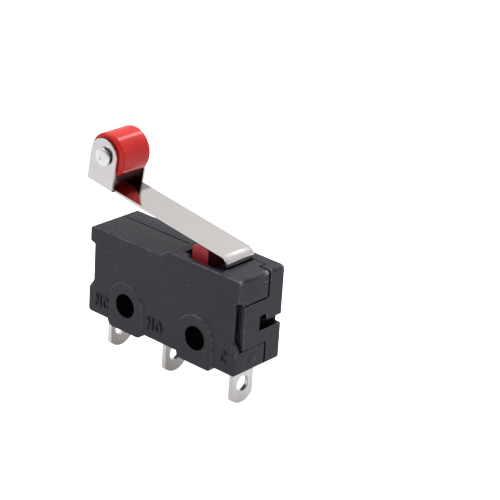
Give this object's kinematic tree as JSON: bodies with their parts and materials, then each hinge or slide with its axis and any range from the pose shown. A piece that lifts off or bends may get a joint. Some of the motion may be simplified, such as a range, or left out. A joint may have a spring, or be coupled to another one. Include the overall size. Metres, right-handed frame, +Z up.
{
  "type": "lever micro switch",
  "caption": "Snap-action lever switch: latched black housing on two through holes, red plunger, folded metal lever with a red roller, and solder terminals below.",
  "frame": {"origin": "midway between the two mounting holes, on their axes' height and in the middle of the housing's depth", "axes": "+X along the housing towards the lever's hinge and the common terminal, +Y through the mounting holes towards the cover, +Z up towards the lever"},
  "size_m": [0.0218, 0.0066, 0.0233],
  "materials": {
    "housing": "satin moulded",
    "plunger": "satin moulded",
    "roller": "glossy moulded",
    "spring_steel": "rolled bright sheet",
    "rivet_steel": "satin",
    "tinned_brass": "tin-plated satin",
    "spring_bronze": "bare rolled",
    "contact_alloy": "bright"
  },
  "bodies": {
    "housing": {"case": "housing", "cover": "housing", "common_terminal": "tinned_brass", "normally_open_terminal": "tinned_brass", "normally_closed_terminal": "tinned_brass", "normally_open_contact": "contact_alloy", "normally_closed_contact": "contact_alloy"},
    "lever": {"lever": "spring_steel", "roller_pin": "rivet_steel"},
    "roller": {"roller": "roller"},
    "plunger": {"plunger": "plunger"},
    "blade": {"snap_blade": "spring_bronze", "moving_contact": "contact_alloy"}
  },
  "joints": [
    {"name": "lever_hinge", "type": "hinge", "parent": "housing", "child": "lever", "pos_m": [0.00638, 0, 0.0067], "axis": [0, -1, 0], "range_deg": [0, 13], "stiffness_Nm_per_rad": 0.03, "springref_deg": -5.73},
    {"name": "roller_spin", "type": "hinge", "parent": "lever", "child": "roller", "pos_m": [-0.00935, 0, 0.01434], "axis": [0, 1, 0], "continuous": true},
    {"name": "plunger_slide", "type": "slide", "parent": "housing", "child": "plunger", "axis": [0, 0, -1], "range_m": [0, 0.00061]},
    {"name": "blade_snap", "type": "hinge", "parent": "housing", "child": "blade", "pos_m": [0.00602, 0, 0.004], "axis": [0, -1, 0], "range_deg": [0, 2], "deforming": ["snap_blade"]}
  ],
  "couplings": [
    {"joint": "plunger_slide", "follows": "lever_hinge", "m_per_rad": 0.002663},
    {"joint": "blade_snap", "follows": "lever_hinge", "ratio": 0.1538}
  ]
}
